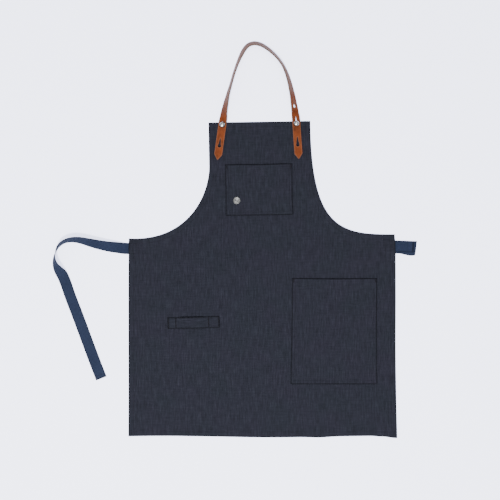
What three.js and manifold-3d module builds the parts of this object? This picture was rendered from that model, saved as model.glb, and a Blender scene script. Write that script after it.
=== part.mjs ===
// A bib apron in dark denim, laid flat and face up: body panel, patch pockets, towel loop, leather neck
// strap buttoned on two ball studs, and two tape ties. Millimetres, +X to the apron's left-hand side as
// seen from above, +Y towards the bib, +Z up. The origin is on the surface it lies on, midway between
// the ties.
import * as THREE from 'three';
import { mergeVertices } from 'three/addons/utils/BufferGeometryUtils.js';
import Module from 'manifold-3d';

const wasm = await Module();
wasm.setup();

// Cloth
const cloth = 1.0;               // one layer of the body cloth
const hemWidth = 14;
const hemThickness = 2.4;        // a double-folded edge
const gap = 0.3;                 // left between pieces that touch

// Body panel, half widths and heights above the tie line
const hemHalfWidth = 312.5;
const sideTaper = 2;              // narrower at the waist, each side
const waistHalfWidth = hemHalfWidth - sideTaper;
const bibHalfWidth = 117.6;
const hemY = -438.5;
const waistCornerY = 28.3;
const bibTopY = 296.4;
const armholeTopY = bibTopY - 45.4;
const armholeLow = { x: bibHalfWidth + 43.4, y: waistCornerY - 4.3 };    // control points of its curve
const armholeHigh = { x: bibHalfWidth - 0.6, y: waistCornerY + 77.7 };
const foldY = 17;                // the crease between bib and skirt
const layAngle = THREE.MathUtils.degToRad(0.9);  // the bib lies a little askew on the skirt
const layPivotY = -130;
const facingWidth = 14;
const facingThickness = 1.1;
const facingEnd = bibHalfWidth + 92.4;           // half width where the armhole facings run out

// Pockets and towel loop
const bibPocket = { width: 158, height: 120, x: -3.1, y: bibTopY - 158.8, gape: 7 };
const handPocket = { width: 201, height: 248, x: hemHalfWidth - 144, y: -193.4, gape: 8 };
const pocketSideRise = 45;       // how far in from a side seam a pocket reaches its full gape
const towelLoop = { width: 27, length: 122, x: 152.1 - hemHalfWidth, y: -172.9, angle: 1.3, rise: 5.2 };
const towelBox = { left: 20, right: 26, ramp: 16 };      // sewn end boxes, and the web's rise beside them
const webThickness = 1.5;
const tackLength = 8;
const tackWidth = 2.4;
const tackThickness = 0.6;

// Badge on the bib pocket
const badge = {
  x: bibPocket.x - bibPocket.width / 2 + 26.6,
  y: bibPocket.y - bibPocket.height / 2 + 36.4,
  radius: 8.5,
  thickness: 1.1,
  postRadius: 1.5,
  footRadius: 3,
  footThickness: 0.3,
};

// Leather neck strap
const strapWidth = 19;
const strapThickness = 3.2;
const strapTipLength = 82.8;     // stud to pointed tip
const strapPoint = 13;           // length of the pointed tip
const strapBreakY = bibTopY + 6.6;               // where the strap leaves the bib and bends
const strapLeadOut = 4;          // straight stretch beyond the break
const strapLean = { left: -8, right: 4 };        // degrees that the buttoned ends are turned
const keyholeRadius = 3.3;
const keyholePitch = 47.6;
const keyholeSlit = 11.5;        // reach of the slit from the middle of the round hole
const slitWidth = 1.2;

// Ball studs
const studX = bibHalfWidth - 31.2;
const studY = bibTopY - 6.4;
const studNeckRadius = 2.2;
const studHeadRadius = 6.5;
const studHeadHeight = 8.4;
const studBoreRadius = 1.5;
const screwHeadRadius = 5;
const screwHeadHeight = 1.0;
const screwShankRadius = 1.2;
const screwShankLength = 5;
const hardwareGap = 0.3;         // cloth round a neck, a post or a screw head

// Waist ties
const tapeWidth = 25.4;
const tapeThickness = 1.2;
const tieSewn = 24;              // length sewn behind the edge
const rightStub = 49;            // from the edge to the fold of the right tie
const rightReturn = 431;         // folded back under the skirt
const rightReturnAngle = 6;      // degrees, towards the hem
const rightFoldRoom = 2;         // from the fold line to the end of the folded-back length
const returnRoom = 1.2;          // side room of the folded-back length under the skirt
const riser = 1.2;               // cloth that steps over what lies beneath it

// Heights that follow
const screwSeat = screwHeadHeight + gap;
const strapBase = screwSeat + hemThickness + gap;
const facingSeat = facingThickness + gap;
const tapeSeat = tapeThickness + gap;

const denim = { color: 0x333540, roughness: 0.92, metalness: 0 };
const tape = { color: 0x3e4764, roughness: 0.9, metalness: 0 };
const leather = { color: 0x914d20, roughness: 0.55, metalness: 0 };
const nickel = { color: 0xc4c2bd, roughness: 0.22, metalness: 1 };
const pewter = { color: 0x8e8e8e, roughness: 0.4, metalness: 1 };
const thread = { color: 0x1d1f28, roughness: 0.8, metalness: 0 };

// ---- solids ----

function solid(geometry) {
  const bare = geometry.clone();
  bare.deleteAttribute('normal');
  bare.deleteAttribute('uv');
  const merged = mergeVertices(bare, 1e-4);
  return new wasm.Manifold(new wasm.Mesh({
    numProp: 3,
    vertProperties: new Float32Array(merged.attributes.position.array),
    triVerts: new Uint32Array(merged.index.array),
  }));
}

function geometryOf(manifold) {
  const mesh = manifold.getMesh();
  const geometry = new THREE.BufferGeometry();
  geometry.setAttribute('position', new THREE.BufferAttribute(new Float32Array(mesh.vertProperties), 3));
  geometry.setIndex(new THREE.BufferAttribute(new Uint32Array(mesh.triVerts), 1));
  return geometry;
}

function slab(shape, bottom, top) {
  const geometry = new THREE.ExtrudeGeometry(shape, {
    depth: top - bottom, bevelEnabled: false, curveSegments: 14,
  });
  return geometry.translate(0, 0, bottom);
}

function rectangle(x0, y0, x1, y1) {
  return new THREE.Shape([[x0, y0], [x1, y0], [x1, y1], [x0, y1]].map(([x, y]) => new THREE.Vector2(x, y)));
}

function disc(x, y, radius) {
  const shape = new THREE.Shape();
  shape.absarc(x, y, radius, 0, 2 * Math.PI);
  return shape;
}

function lathe(profile, segments = 28) {
  const points = profile.map(([r, z]) => new THREE.Vector2(r, z));
  return new THREE.LatheGeometry(points, segments).rotateX(Math.PI / 2);
}

function piece(name, geometry, material) {
  const mesh = new THREE.Mesh(geometry, new THREE.MeshStandardMaterial(material));
  mesh.name = name;
  return mesh;
}

// ---- the lay: everything above the waist is turned a little about a point below it ----

function lay(x, y) {
  const [c, s] = [Math.cos(layAngle), Math.sin(layAngle)];
  return [x * c - (y - layPivotY) * s, x * s + (y - layPivotY) * c + layPivotY];
}

// The armhole edge as a cubic curve from the waist corner up to the bib, moved inwards by inset.
function armhole(side, inset) {
  return {
    corner: [side * (waistHalfWidth - inset), waistCornerY - inset],
    low: [side * (armholeLow.x - inset / 2), armholeLow.y - inset],
    high: [side * (armholeHigh.x - inset), armholeHigh.y - inset / 2],
    top: [side * (bibHalfWidth - inset), armholeTopY],
  };
}

// The body panel's outline, moved inwards by inset all round.
function outline(inset) {
  const shape = new THREE.Shape();
  const right = armhole(1, inset);
  const left = armhole(-1, inset);
  shape.moveTo(-hemHalfWidth + inset, hemY + inset);
  shape.lineTo(hemHalfWidth - inset, hemY + inset);
  shape.lineTo(...lay(...right.corner));
  shape.bezierCurveTo(...lay(...right.low), ...lay(...right.high), ...lay(...right.top));
  shape.lineTo(...lay(bibHalfWidth - inset, bibTopY - inset));
  shape.lineTo(...lay(-bibHalfWidth + inset, bibTopY - inset));
  shape.lineTo(...lay(...left.top));
  shape.bezierCurveTo(...lay(...left.high), ...lay(...left.low), ...lay(...left.corner));
  return shape;
}

// A band along one armhole, from the outer inset to the inner one, between the top hem and facingEnd.
function armholeBand(side, outer, inner, endGap, bottom, top) {
  const out = armhole(side, outer);
  const inn = armhole(side, inner);
  const band = new THREE.Shape();
  band.moveTo(...lay(...inn.corner));
  band.lineTo(...lay(...out.corner));
  band.bezierCurveTo(...lay(...out.low), ...lay(...out.high), ...lay(...out.top));
  band.lineTo(...lay(out.top[0], bibTopY));
  band.lineTo(...lay(inn.top[0], bibTopY));
  band.lineTo(...lay(...inn.top));
  band.bezierCurveTo(...lay(...inn.high), ...lay(...inn.low), ...lay(...inn.corner));
  const endX = side * (facingEnd - endGap);
  const endY = bibTopY - hemWidth - riser - endGap;
  const corners = [[0, foldY], [endX, foldY], [endX, endY], [0, endY]];
  const window = new THREE.Shape(corners.map(([x, y]) => new THREE.Vector2(...lay(x, y))));
  return solid(slab(band, bottom, top)).intersect(solid(slab(window, bottom - 1, top + 1)));
}

// A strip of tape from a point, in a direction in degrees, grown sideways and at both ends.
function tapeStrip(x, y, degrees, length, grow) {
  const along = new THREE.Vector2(1, 0).rotateAround(new THREE.Vector2(), THREE.MathUtils.degToRad(degrees));
  const across = new THREE.Vector2(-along.y, along.x).multiplyScalar(tapeWidth / 2 + grow);
  const start = new THREE.Vector2(x, y).addScaledVector(along, -grow);
  const end = new THREE.Vector2(x, y).addScaledVector(along, length + grow);
  return new THREE.Shape([
    start.clone().sub(across), end.clone().sub(across), end.clone().add(across), start.clone().add(across),
  ]);
}

// ---- body panel: one sheet with thick hems, stepping over the tapes, facings and screw heads ----

// The outermost x of a side edge over the width of a tie.
function sideEdge(side) {
  const [cornerX, cornerY] = lay(side * waistHalfWidth, waistCornerY);
  const at = (y) => THREE.MathUtils.mapLinear(y, hemY, cornerY, side * hemHalfWidth, cornerX);
  return side * Math.max(side * at(-tapeWidth / 2), side * at(tapeWidth / 2));
}

const leftEdge = sideEdge(-1);
const rightEdge = sideEdge(1);
const rightFoldX = rightEdge + rightStub;
const returnStrip = (grow) => tapeStrip(
  rightFoldX - rightFoldRoom, 0, 180 + rightReturnAngle, rightReturn, grow,
);
const leftEndStrip = (grow) => tapeStrip(leftEdge, 0, 0, tieSewn, grow);
const rightEndStrip = (grow) => tapeStrip(rightEdge, 0, 180, tieSewn, grow);
const stud = (side) => lay(side * studX, studY);

function bodyPanel() {
  const outer = outline(0);
  const inner = outline(hemWidth + riser);
  const envelope = solid(slab(outer, 0, 20));
  const rim = solid(slab(outer, 0, hemThickness)).subtract(solid(slab(inner, -1, hemThickness + 1)));
  let body = solid(slab(outer, 0, cloth)).add(rim);
  const beneath = [
    { strip: (grow) => returnStrip(grow + returnRoom - gap), seat: tapeSeat, layer: cloth },
    { strip: leftEndStrip, seat: tapeSeat, layer: hemThickness },
    { strip: rightEndStrip, seat: 2 * tapeSeat, layer: hemThickness },
    { strip: (grow) => disc(...stud(-1), screwHeadRadius + grow), seat: screwSeat, layer: hemThickness },
    { strip: (grow) => disc(...stud(1), screwHeadRadius + grow), seat: screwSeat, layer: hemThickness },
  ];
  for (const { strip, seat, layer } of beneath) {
    body = body.add(solid(slab(strip(gap + riser), 0, seat + layer)).intersect(envelope));
  }
  for (const { strip, seat } of beneath) {
    body = body.subtract(solid(slab(strip(gap), -1, seat)));
  }
  for (const side of [-1, 1]) {
    body = body.subtract(armholeBand(side, -2, facingWidth + gap, 0, -1, facingSeat));
    const neckHole = disc(...stud(side), studNeckRadius + hardwareGap);
    body = body.subtract(solid(slab(neckHole, -1, strapBase)));
  }
  return body;
}

function panelHalves() {
  const reach = 1000;
  const body = bodyPanel();
  const above = solid(slab(rectangle(-reach, foldY - gap, reach, reach), -5, 30));
  const below = solid(slab(rectangle(-reach, -reach, reach, foldY + gap), -5, 30));
  return [
    piece('skirt_panel', geometryOf(body.subtract(above)), denim),
    piece('bib_panel', geometryOf(body.subtract(below)), denim),
  ];
}

function facings() {
  return [[-1, 'left'], [1, 'right']].map(([side, word]) => piece(
    `${word}_armhole_facing`,
    geometryOf(armholeBand(side, 0.6, facingWidth, gap, 0, facingThickness)),
    denim,
  ));
}

// ---- patch pockets: a sheet sewn flat on three sides that stands a little open at its mouth ----

const smooth = (t) => THREE.MathUtils.smoothstep(t, 0, 1);

// Height of a pocket's sheet above the panel at x, y from the pocket's middle.
function pocketLift(pocket, x, y) {
  const up = (y + pocket.height / 2) / pocket.height;
  const fromSide = pocket.width / 2 - Math.abs(x);
  return pocket.gape * smooth(up * 0.92) * smooth(fromSide / pocketSideRise);
}

function pocketSheet(pocket) {
  const geometry = new THREE.BoxGeometry(pocket.width, pocket.height, cloth, 14, 10, 1);
  const at = geometry.attributes.position;
  for (let i = 0; i < at.count; i += 1) {
    at.setZ(i, at.getZ(i) + cloth / 2 + pocketLift(pocket, at.getX(i), at.getY(i)));
  }
  return geometry.translate(pocket.x, pocket.y, cloth + gap);
}

function tack(x, y, base, turned = false) {
  const [w, h] = turned ? [tackLength, tackWidth] : [tackWidth, tackLength];
  return slab(rectangle(x - w / 2, y - h / 2, x + w / 2, y + h / 2), base, base + tackThickness);
}

// Bar tacks lie on the two upper corners of a pocket, just inside its edges.
function pocketTacks(pocket, name) {
  const inset = 2;
  return [[-1, 'left'], [1, 'right']].map(([side, word]) => {
    const x = side * (pocket.width / 2 - inset - tackWidth / 2);
    const y = pocket.height / 2 - inset - tackLength / 2;
    const lift = pocketLift(pocket, x - side * tackWidth, y + tackLength / 2);
    const base = cloth + gap + cloth + lift + gap;
    return piece(`${name}_tack_${word}`, tack(pocket.x + x, pocket.y + y, base), thread);
  });
}

// The badge is a rivet: its cap lies on the pocket and its flared foot is inside it.
function badgeFits(radius, pick) {
  const turns = [0, 1, 2, 3, 4, 5, 6, 7].map((i) => (i * Math.PI) / 4);
  const [x, y] = [badge.x - bibPocket.x, badge.y - bibPocket.y];
  return pick(...turns.map((a) => pocketLift(bibPocket, x + radius * Math.cos(a), y + radius * Math.sin(a))));
}

function badgeGeometry() {
  const sheet = cloth + gap;
  const front = sheet + badgeFits(badge.radius, Math.max) + cloth + gap;
  const foot = sheet + badgeFits(badge.footRadius, Math.min) - gap / 2 - front;
  const { radius, postRadius, footRadius, thickness, footThickness } = badge;
  const profile = [
    [0, foot - footThickness], [footRadius, foot - footThickness], [footRadius, foot], [postRadius, foot],
    [postRadius, 0], [radius - 0.4, 0], [radius, 0.4], [radius - 0.3, thickness],
    [radius - 1.3, thickness + 0.2], [radius - 1.9, thickness - 0.3], [0, thickness - 0.1],
  ];
  return lathe(profile).translate(badge.x, badge.y, front);
}

function bibPocketGeometry() {
  const hole = disc(badge.x, badge.y, badge.postRadius + hardwareGap);
  return geometryOf(solid(pocketSheet(bibPocket)).subtract(solid(slab(hole, 0, 20))));
}

// ---- towel loop: a flat web sewn at both ends, arched between them ----

function towelWeb() {
  const { length, width, rise } = towelLoop;
  const from = -length / 2 + towelBox.left;
  const to = length / 2 - towelBox.right;
  const geometry = new THREE.BoxGeometry(length, width, webThickness, 30, 1, 1);
  const at = geometry.attributes.position;
  for (let i = 0; i < at.count; i += 1) {
    const x = at.getX(i);
    const arch = smooth((x - from) / towelBox.ramp) * smooth((to - x) / towelBox.ramp);
    at.setZ(i, at.getZ(i) + webThickness / 2 + rise * arch);
  }
  return geometry;
}

function towelPieces() {
  const group = new THREE.Group();
  group.position.set(towelLoop.x, towelLoop.y, cloth + gap);
  group.rotation.z = THREE.MathUtils.degToRad(towelLoop.angle);
  group.add(piece('towel_loop', towelWeb(), denim));
  const half = towelLoop.length / 2;
  const top = webThickness + gap;
  const places = {
    towel_loop_tack_left_outer: -half + 2.5,
    towel_loop_tack_left_inner: -half + towelBox.left - 4,
    towel_loop_tack_right_inner: half - towelBox.right + 4,
    towel_loop_tack_right_outer: half - 2.5,
  };
  for (const [name, x] of Object.entries(places)) {
    const bar = rectangle(x - 1, -towelLoop.width / 2 + 2, x + 1, towelLoop.width / 2 - 2);
    group.add(piece(name, slab(bar, top, top + tackThickness), thread));
  }
  return group;
}

// ---- neck strap ----

// A flat tape through stations [x, y, roll], rolled about its own length with its low edge on base.
class TapePath extends THREE.CatmullRomCurve3 {
  constructor(stations, width, thickness, base = () => 0) {
    const rolls = stations.map(([, , roll]) => THREE.MathUtils.degToRad(roll));
    super(stations.map(([x, y], i) => {
      const rise = Math.sin(rolls[i]) * width / 2 + Math.abs(Math.cos(rolls[i])) * thickness / 2;
      return new THREE.Vector3(x, y, rise + base(i));
    }), false, 'centripetal');
    this.rolls = rolls;
  }

  computeFrenetFrames(segments) {
    const frames = { tangents: [], normals: [], binormals: [] };
    for (let i = 0; i <= segments; i += 1) {
      const place = this.getUtoTmapping(i / segments) * (this.rolls.length - 1);
      const k = Math.min(Math.floor(place), this.rolls.length - 2);
      const roll = THREE.MathUtils.lerp(this.rolls[k], this.rolls[k + 1], place - k);
      const tangent = this.getTangentAt(i / segments);
      const side = new THREE.Vector3(0, 0, 1).cross(tangent).normalize();
      const up = tangent.clone().cross(side);
      const normal = side.multiplyScalar(Math.cos(roll)).addScaledVector(up, -Math.sin(roll));
      frames.tangents.push(tangent);
      frames.normals.push(normal);
      frames.binormals.push(tangent.clone().cross(normal));
    }
    return frames;
  }
}

function tapeAlong(path, width, thickness, steps) {
  const section = rectangle(-width / 2, -thickness / 2, width / 2, thickness / 2);
  return new THREE.ExtrudeGeometry(section, { steps, bevelEnabled: false, extrudePath: path });
}

// The loop as laid, left leg first: it leaves the bib flat and soon stands on its edge. Each place is
// [across, up, roll]: a share of the half width between the studs, and millimetres above the break.
const loopPlaces = [
  [-0.955, 15, 42], [-0.904, 38, 66], [-0.818, 68, 82], [-0.724, 96, 88], [-0.618, 124, 88],
  [-0.478, 152, 88], [-0.321, 171.5, 85], [-0.148, 177.4, 84], [0.027, 174, 85], [0.212, 164.8, 86],
  [0.432, 148.5, 88], [0.617, 128, 88], [0.783, 96, 74], [0.865, 68, 64], [0.925, 40, 48], [0.965, 16, 32],
];

// A station on a buttoned end's middle line, some way beyond the break.
function strapBreak(side, degrees, beyond, roll) {
  const [x, y] = stud(side);
  const up = strapBreakY + gap + beyond - y;
  return [x - up * Math.tan(THREE.MathUtils.degToRad(degrees)), strapBreakY + gap + beyond, roll];
}

function strapLoop() {
  const middle = (stud(-1)[0] + stud(1)[0]) / 2;
  const stations = [
    strapBreak(-1, strapLean.left, 0, 0),
    strapBreak(-1, strapLean.left, strapLeadOut, 5),
    ...loopPlaces.map(([across, up, roll]) => [middle + across * studX, strapBreakY + up, roll]),
    strapBreak(1, strapLean.right, strapLeadOut, 5),
    strapBreak(1, strapLean.right, 0, 0),
  ];
  const fromEnd = (i) => Math.min(i, stations.length - 1 - i);
  const base = (i) => (fromEnd(i) < 2 ? strapBase - fromEnd(i) : 0);
  const path = new TapePath(stations, strapWidth, strapThickness, base);
  return tapeAlong(path, strapWidth, strapThickness, 60);
}

// A keyhole: a round hole with a slit towards the neck.
function keyhole(y) {
  const round = solid(slab(disc(0, y, keyholeRadius), -1, strapThickness + 1));
  const slit = rectangle(-slitWidth / 2, y, slitWidth / 2, y + keyholeSlit);
  return round.add(solid(slab(slit, -1, strapThickness + 1)));
}

// A buttoned end in its own frame: the stud at the origin, the pointed tip towards -Y.
function strapEnd(reachUp) {
  const half = strapWidth / 2;
  const shoulder = -strapTipLength + strapPoint;
  const shape = new THREE.Shape();
  shape.moveTo(-half, reachUp);
  shape.lineTo(-half, shoulder);
  shape.quadraticCurveTo(-half, shoulder - strapPoint * 0.45, 0, -strapTipLength);
  shape.quadraticCurveTo(half, shoulder - strapPoint * 0.45, half, shoulder);
  shape.lineTo(half, reachUp);
  return solid(slab(shape, 0, strapThickness)).subtract(keyhole(0)).subtract(keyhole(-keyholePitch));
}

function strapEndPiece(side, word, degrees) {
  const [x, y] = stud(side);
  const mesh = piece(`${word}_strap_end`, geometryOf(strapEnd(strapBreakY - gap - y)), leather);
  mesh.position.set(x, y, strapBase);
  mesh.rotation.z = THREE.MathUtils.degToRad(degrees);
  return mesh;
}

// ---- studs ----

function studGeometry() {
  const under = strapBase + strapThickness + gap;
  const r = studHeadRadius;
  const top = under + studHeadHeight;
  const widest = under + studHeadHeight * 0.45;
  const dome = [30, 60].map((a) => {
    const angle = THREE.MathUtils.degToRad(a);
    return [r * Math.cos(angle), widest + (top - widest) * Math.sin(angle)];
  });
  return lathe([
    [0, screwSeat + screwShankLength], [studBoreRadius, screwSeat + screwShankLength],
    [studBoreRadius, screwSeat], [studNeckRadius, screwSeat], [studNeckRadius, under],
    [r * 0.72, under], [r * 0.94, under + (widest - under) * 0.45], [r, widest], ...dome, [0, top],
  ]);
}

function screwGeometry() {
  return lathe([
    [0, 0], [screwHeadRadius - 0.5, 0], [screwHeadRadius, 0.4], [screwHeadRadius, screwHeadHeight],
    [screwShankRadius, screwHeadHeight], [screwShankRadius, screwHeadHeight + screwShankLength],
    [0, screwHeadHeight + screwShankLength],
  ]);
}

function studPieces(side, word) {
  const [x, y] = stud(side);
  return [
    piece(`${word}_stud`, studGeometry().translate(x, y, 0), nickel),
    piece(`${word}_stud_screw`, screwGeometry().translate(x, y, 0), nickel),
  ];
}

// ---- waist ties ----

// The left tie's free length as it lies, from the edge out: it turns over on its edge in one soft curl.
// Each place is [out from the edge, y, roll].
const leftTiePlaces = [
  [gap, 0, 0], [9, 0.2, 0], [24, 2, 13], [43, 4.2, 26], [66.5, 8.5, 36], [89.8, 14, 46],
  [113.2, 19.5, 60], [133, 20.3, 74], [150, 15.5, 85], [162, 5.5, 90], [170.5, -7, 94],
  [174.5, -21, 102], [173.2, -36, 116], [167, -50, 140], [157, -66, 166], [146, -83.1, 180],
  [110.9, -177.8, 180], [75.8, -272.6, 180], [63.2, -303, 180],
];

function tiePieces() {
  const stations = leftTiePlaces.map(([out, y, roll]) => [leftEdge - out, y, roll]);
  const leftPath = new TapePath(stations, tapeWidth, tapeThickness);
  const stub = rectangle(rightEdge + gap, -tapeWidth / 2, rightFoldX, tapeWidth / 2);
  return [
    piece('left_tie', tapeAlong(leftPath, tapeWidth, tapeThickness, 64), tape),
    piece('left_tie_end', slab(tapeStrip(leftEdge + gap, 0, 0, tieSewn - gap, 0), 0, tapeThickness), tape),
    piece('right_tie', slab(stub, tapeSeat, tapeSeat + tapeThickness), tape),
    piece('right_tie_end', slab(tapeStrip(rightEdge - gap, 0, 180, tieSewn - gap, 0),
      tapeSeat, tapeSeat + tapeThickness), tape),
    piece('right_tie_return', slab(returnStrip(0), 0, tapeThickness), tape),
  ];
}

// ---- assembly ----

const skirt = new THREE.Group();
skirt.add(
  piece('hand_pocket', pocketSheet(handPocket), denim),
  ...pocketTacks(handPocket, 'hand_pocket'),
  towelPieces(),
);

// Pieces on the bib are placed by its pattern and turned together with it.
const bib = new THREE.Group();
bib.rotation.z = layAngle;
bib.position.set(...lay(0, 0), 0);
bib.add(
  piece('bib_pocket', bibPocketGeometry(), denim),
  ...pocketTacks(bibPocket, 'bib_pocket'),
  piece('badge', badgeGeometry(), pewter),
);

const apron = new THREE.Group();
apron.add(
  ...panelHalves(), ...facings(), skirt, bib,
  strapEndPiece(-1, 'left', strapLean.left), strapEndPiece(1, 'right', strapLean.right),
  piece('strap_loop', strapLoop(), leather),
  ...studPieces(-1, 'left'), ...studPieces(1, 'right'),
  ...tiePieces(),
);

export default apron;
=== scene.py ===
"""A dark denim bib apron laid flat on a pale floor, built in detail round its CAD frame.

Shapes are laid out in millimetres in the CAD model's own frame and turned into metres when meshes are made.
Every soft piece starts as a flat cutting pattern: a border with rows of points beside it, filled with
triangles, given a thickness, and then placed in space.
"""
import math

import bpy
import numpy as np
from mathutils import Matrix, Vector
from mathutils.geometry import delaunay_2d_cdt
from mathutils.kdtree import KDTree


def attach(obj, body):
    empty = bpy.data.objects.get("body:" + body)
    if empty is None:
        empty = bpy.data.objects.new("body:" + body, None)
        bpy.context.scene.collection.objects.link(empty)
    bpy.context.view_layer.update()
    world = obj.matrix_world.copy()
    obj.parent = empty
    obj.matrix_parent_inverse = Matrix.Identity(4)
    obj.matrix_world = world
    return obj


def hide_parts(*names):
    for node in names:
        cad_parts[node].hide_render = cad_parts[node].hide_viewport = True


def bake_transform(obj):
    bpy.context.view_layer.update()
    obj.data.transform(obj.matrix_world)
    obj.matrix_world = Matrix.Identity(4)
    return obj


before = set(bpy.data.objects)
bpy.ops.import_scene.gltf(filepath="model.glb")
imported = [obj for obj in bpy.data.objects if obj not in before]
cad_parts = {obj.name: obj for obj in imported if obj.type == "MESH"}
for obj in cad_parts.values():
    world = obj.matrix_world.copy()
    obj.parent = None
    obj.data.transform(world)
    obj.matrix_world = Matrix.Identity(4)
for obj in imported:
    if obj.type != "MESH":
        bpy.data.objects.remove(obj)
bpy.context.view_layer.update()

MM = 0.001
CLOTH = 1.0  # one layer of denim
HEM = 14.0  # width of the double-folded edge
HEM_TOP = 2.4  # its thickness
GAP = 0.3  # between pieces that lie on each other

HEM_HALF, WAIST_HALF, BIB_HALF = 312.5, 310.5, 117.6
WAIST_Y, BIB_TOP = 28.3, 296.4
FOLD_START, FOLD_END = 14.0, 38.0  # the band of cloth that bends between skirt and bib
LAY, LAY_PIVOT = math.radians(0.9), -130.0  # how the bib is turned, and the height it turns about
FACING_END = 210.0  # how far from the middle the armholes' facings reach
FACING_WIDTH = 13.0

STRAP_WIDTH, STRAP_THICK, STRAP_BASE = 19.0, 3.2, 4.0
TIP, KEY_PITCH, KEY_RADIUS = 82.8, 49.4, 3.8
TAPE_WIDTH, TAPE_THICK, TAPE_SEAT = 25.4, 1.2, 1.5
LEFT_EDGE, RIGHT_EDGE = -312.9, 308.4
RIGHT_TIE_Y = 5.6  # the right tie is sewn on a little higher than the left one
TAPE_HALF = 13.2  # half the tapes' width with their fuzzy selvedges
RIGHT_TIE_DROP = 1.6  # and points a little down towards its fold
TAPE_SEWN = 24.0  # how far the ties are sewn under the body's edges
SPLIT, FOLD_X = 350.0, 357.4  # where the right tie's stub ends, and where the tie folds back
FOLD_OUT = 3.0  # how much further out both are placed
RETURN_RUN, RETURN_SLOPE = 425.0, 6  # the length folded back, and its slope in degrees

# ---- lines and outlines


def smooth(t):
    """Smooth step from 0 to 1."""
    t = np.clip(t, 0, 1)
    return t * t * (3 - 2 * t)


def arc(line):
    """Distance along a line at each of its points."""
    return np.concatenate([[0], np.cumsum(np.linalg.norm(np.diff(line, axis=0), axis=1))])


def unit(vectors):
    return vectors / np.linalg.norm(vectors, axis=1)[:, None]


def evenly(line, step, last=False):
    """Points along an open line, step apart, with or without its last point."""
    line = np.asarray(line, float)
    along = arc(line)
    count = max(1, round(along[-1] / step))
    at = np.arange(count + last) / count * along[-1]
    return np.column_stack([np.interp(at, along, line[:, k]) for k in range(line.shape[1])])


def closed(loop, step):
    """Points along a closed line, step apart."""
    return np.vstack([evenly(ends, step) for ends in zip(loop, np.roll(loop, -1, axis=0))])


def area_of(loop):
    """A closed line's area, above 0 where it runs anticlockwise."""
    x, y = np.transpose(loop)
    return (x * np.roll(y, -1) - y * np.roll(x, -1)).sum() / 2


def bezier(points, count=80):
    """A cubic curve within the hull of its four control points."""
    a, b, c, d = (np.array(p, float) for p in points)
    t = np.linspace(0, 1, count)[:, None]
    return (1 - t) ** 3 * a + 3 * (1 - t) ** 2 * t * b + 3 * (1 - t) * t * t * c + t ** 3 * d


def through(stations, step=1.0):
    """A smooth curve through stations of any number of values, the first two being x and y."""
    p = np.asarray(stations, float)
    t = arc(p[:, :2])
    h = np.diff(t)
    slope = np.diff(p, axis=0) / h[:, None]
    m = np.vstack([slope[:1], slope[:-1] * h[1:, None] + slope[1:] * h[:-1, None], slope[-1:]])
    m[1:-1] /= (h[1:] + h[:-1])[:, None]
    at = np.linspace(0, t[-1], max(2, int(t[-1] / step) + 1))
    k = np.clip(np.searchsorted(t, at, side="right") - 1, 0, len(h) - 1)
    u = ((at - t[k]) / h[k])[:, None]
    hk = h[k][:, None]
    return ((1 + 2 * u) * (1 - u) ** 2 * p[k] + u * (1 - u) ** 2 * hk * m[k]
            + u * u * (3 - 2 * u) * p[k + 1] + u * u * (u - 1) * hk * m[k + 1])


def inside(points, loop):
    """Which points lie within a closed loop."""
    x, y = points.T
    hit = np.zeros(len(points), bool)
    for (x0, y0), (x1, y1) in zip(loop, np.roll(loop, -1, axis=0)):
        if y0 != y1:
            hit ^= ((y0 > y) != (y1 > y)) & (x < (x1 - x0) * (y - y0) / (y1 - y0) + x0)
    return hit


def lay(points, turn=LAY):
    """The bib and all that is on it lies turned a little about a point below the waist."""
    p = np.asarray(points, float)
    x, y = p[..., 0], p[..., 1] - LAY_PIVOT
    c, s = math.cos(turn), math.sin(turn)
    return np.stack([x * c - y * s, x * s + y * c + LAY_PIVOT], axis=-1)


def unlay(points):
    """The other way: from where the cloth lies to its pattern."""
    return lay(points, -LAY)


# ---- flat patterns


class Border:
    """The edges of a flat pattern: how far the nearest one is, and where along it."""

    def __init__(self, loops):
        fine = [closed(loop, 0.8) for loop in loops]
        self.points = np.vstack(fine)
        self.ahead = np.vstack([np.roll(f, -1, axis=0) for f in fine])
        self.behind = np.vstack([np.roll(f, 1, axis=0) for f in fine])
        self.along = np.concatenate([arc(f) for f in fine])
        self.tree = KDTree(len(self.points))
        for i, (x, y) in enumerate(self.points):
            self.tree.insert((x, y, 0), i)
        self.tree.balance()

    def nearest(self, points):
        index = np.array([self.tree.find((x, y, 0))[1] for x, y in points])
        start = self.points[index]
        best = np.full(len(points), 1e9)
        for other in (self.ahead[index], self.behind[index]):
            edge = other - start
            t = np.clip(((points - start) * edge).sum(1) / (edge ** 2).sum(1), 0, 1)
            best = np.minimum(best, np.linalg.norm(points - start - edge * t[:, None], axis=1))
        return best, self.along[index]


def offsets(loop, outer):
    """Unit steps from a loop's points into the material, longer at corners."""
    ahead = unit(np.roll(loop, -1, axis=0) - loop)
    behind = np.roll(ahead, 1, axis=0)
    sign = (1 if area_of(loop) > 0 else -1) * (1 if outer else -1)
    first = sign * np.column_stack([-behind[:, 1], behind[:, 0]])
    second = sign * np.column_stack([-ahead[:, 1], ahead[:, 0]])
    middle = first + second
    middle /= np.maximum(np.linalg.norm(middle, axis=1), 1e-6)[:, None]
    return middle / np.maximum((middle * first).sum(1), 0.5)[:, None]


def hexes(low, high, spacing):
    """A staggered field of points over a box."""
    rows = np.arange(low[1], high[1], spacing * 0.866)
    columns = np.arange(low[0], high[0], spacing)
    return np.vstack([np.column_stack([columns + spacing / 2 * (i % 2), np.full(len(columns), y)])
                      for i, y in enumerate(rows)])


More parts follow.
